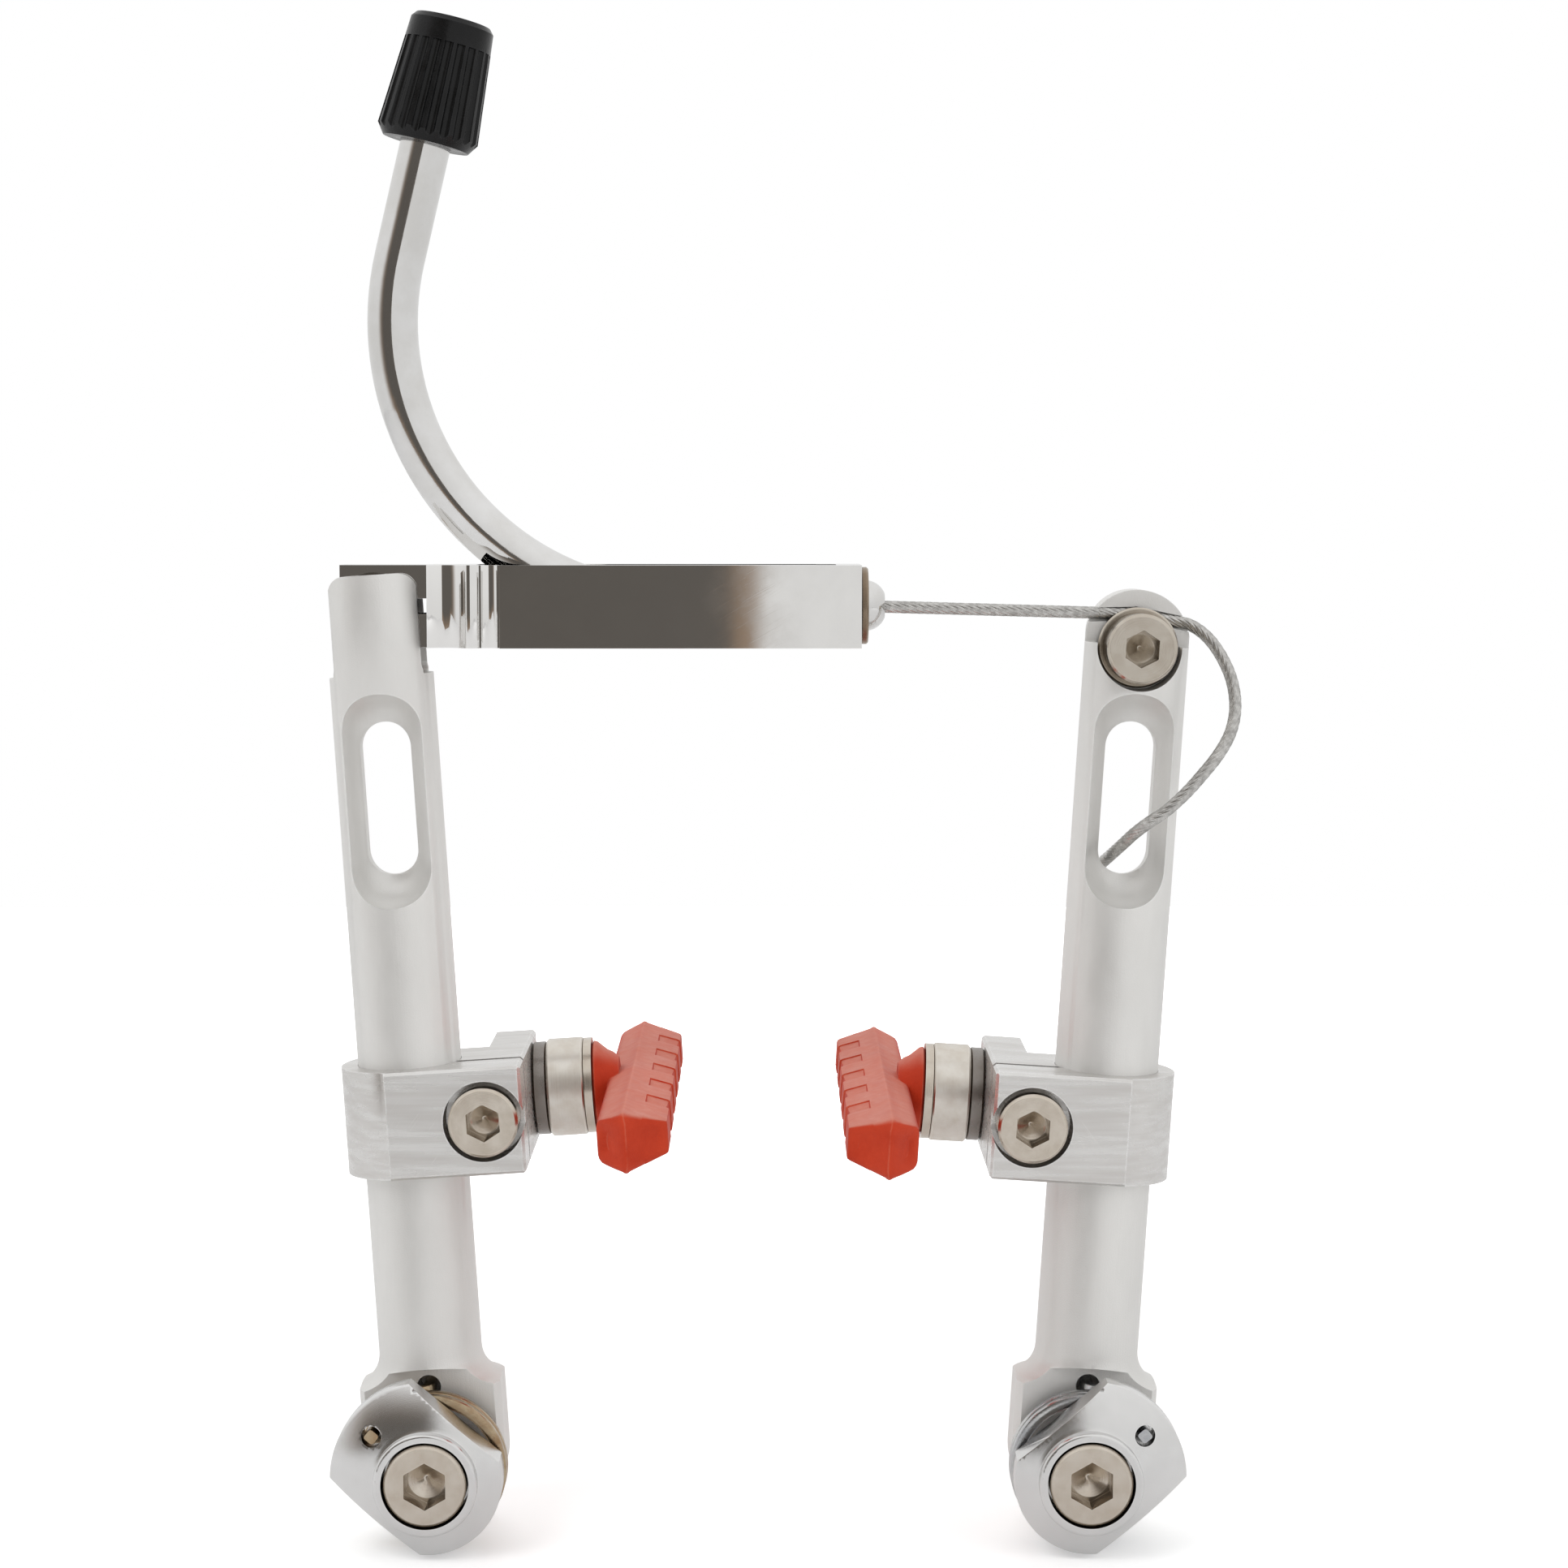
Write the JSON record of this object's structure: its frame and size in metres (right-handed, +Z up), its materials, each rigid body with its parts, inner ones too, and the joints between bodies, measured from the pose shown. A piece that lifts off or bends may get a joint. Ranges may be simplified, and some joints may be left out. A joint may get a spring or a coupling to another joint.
{
  "type": "v-brake",
  "caption": "Linear-pull bicycle rim brake: two pivoting alloy arms with long rubber pads, a link and bent noodle tube, and the cable clamped to the far arm.",
  "frame": {"origin": "midway between the two arm pivots, on the arms' middle plane", "axes": "+X from the noodle arm to the cable anchor arm, +Y from the bolt heads towards the bicycle frame, +Z up along the arms"},
  "size_m": [0.1109, 0.072, 0.1858],
  "materials": {
    "arm_alloy": "satin, bead blasted",
    "polished_alloy": "mirror polished",
    "clamp_alloy": "milled, lightly scratched",
    "washer_alloy": "turned",
    "stainless": "smooth",
    "bush_steel": "ground",
    "dark_steel": "dark, satin",
    "spring_gold": "golden passivated",
    "spring_silver": "zinc plated",
    "chromed_tube": "mirror",
    "liner_plastic": "slippery plastic",
    "black_plastic": "moulded, ribbed",
    "pad_rubber": "moulded, matt",
    "cable_steel": "stranded wire",
    "end_cap_alloy": "crimped"
  },
  "bodies": {
    "frame_side": {"left_pivot_bush": "bush_steel", "left_pivot_bolt": "stainless", "left_return_spring": "spring_gold", "right_pivot_bush": "bush_steel", "right_pivot_bolt": "stainless", "right_return_spring": "spring_silver"},
    "left_cap": {"left_tension_cap": "polished_alloy"},
    "right_cap": {"right_tension_cap": "polished_alloy"},
    "left_arm_body": {"left_arm": "arm_alloy", "link_screw": "stainless"},
    "right_arm_body": {"right_arm": "arm_alloy", "anchor_bolt": "stainless", "anchor_washer": "stainless", "cable_tail": "cable_steel", "cable_end_cap": "end_cap_alloy"},
    "link_body": {"noodle_link": "polished_alloy", "link_washers": "dark_steel", "noodle_tube": "chromed_tube", "noodle_liner": "liner_plastic", "noodle_collar": "stainless", "seat_disc": "dark_steel", "noodle_nose": "chromed_tube", "noodle_cap": "black_plastic", "cable_in_noodle": "cable_steel"},
    "cable_span": {"cable_run": "cable_steel"},
    "left_clamp_body": {"left_pad_clamp": "clamp_alloy", "left_clamp_bolt": "stainless"},
    "left_pad_body": {"left_brake_pad": "pad_rubber", "left_pad_post": "stainless", "left_spacer_washer": "dark_steel", "left_cup_washer": "washer_alloy", "left_ball_washer": "stainless", "left_outer_cup_washer": "washer_alloy", "left_outer_ball_washer": "stainless", "left_pad_nut": "stainless"},
    "right_clamp_body": {"right_pad_clamp": "clamp_alloy", "right_clamp_bolt": "stainless"},
    "right_pad_body": {"right_brake_pad": "pad_rubber", "right_pad_post": "stainless", "right_spacer_washer": "dark_steel", "right_cup_washer": "washer_alloy", "right_ball_washer": "stainless", "right_outer_cup_washer": "washer_alloy", "right_outer_ball_washer": "stainless", "right_pad_nut": "stainless"}
  },
  "joints": [
    {"name": "left_arm_pivot", "type": "hinge", "parent": "frame_side", "child": "left_arm_body", "pos_m": [-0.04, 0, 0], "axis": [0, 1, 0], "range_deg": [-2.5, 5], "stiffness_Nm_per_rad": 1, "deforming": ["left_return_spring"]},
    {"name": "left_cap_turn", "type": "hinge", "parent": "frame_side", "child": "left_cap", "pos_m": [-0.04, 0, 0], "axis": [0, 1, 0], "range_deg": [-30, 30], "deforming": ["left_return_spring"]},
    {"name": "left_pad_height", "type": "slide", "parent": "left_arm_body", "child": "left_clamp_body", "axis": [-0.0628, 0, 0.998], "range_m": [-0.018, 0.014]},
    {"name": "left_pad_turn", "type": "hinge", "parent": "left_clamp_body", "child": "left_pad_body", "pos_m": [-0.02848, 0.013, 0.04311], "axis": [0.998, 0, 0.0628], "range_deg": [-12, 12]},
    {"name": "right_arm_pivot", "type": "hinge", "parent": "frame_side", "child": "right_arm_body", "pos_m": [0.04, 0, 0], "axis": [0, -1, 0], "range_deg": [-2.5, 5], "stiffness_Nm_per_rad": 1, "deforming": ["right_return_spring"]},
    {"name": "right_cap_turn", "type": "hinge", "parent": "frame_side", "child": "right_cap", "pos_m": [0.04, 0, 0], "axis": [0, -1, 0], "range_deg": [-30, 30], "deforming": ["right_return_spring"]},
    {"name": "right_pad_height", "type": "slide", "parent": "right_arm_body", "child": "right_clamp_body", "axis": [0.0628, 0, 0.998], "range_m": [-0.018, 0.014]},
    {"name": "right_pad_turn", "type": "hinge", "parent": "right_clamp_body", "child": "right_pad_body", "pos_m": [0.02843, 0.013, 0.04231], "axis": [-0.998, 0, 0.0628], "range_deg": [-12, 12]},
    {"name": "link_swing", "type": "hinge", "parent": "left_arm_body", "child": "link_body", "pos_m": [-0.04661, 0, 0.10499], "axis": [0, 1, 0], "range_deg": [-5, 2.5]},
    {"name": "cable_swing", "type": "hinge", "parent": "right_arm_body", "child": "cable_span", "pos_m": [0.04158, 0, 0.1041], "axis": [0, -1, 0], "range_deg": [-5.6, 2.8]}
  ],
  "couplings": [
    {"joint": "link_swing", "follows": "left_arm_pivot", "ratio": -0.88},
    {"joint": "cable_swing", "follows": "right_arm_pivot", "ratio": -1.1}
  ]
}
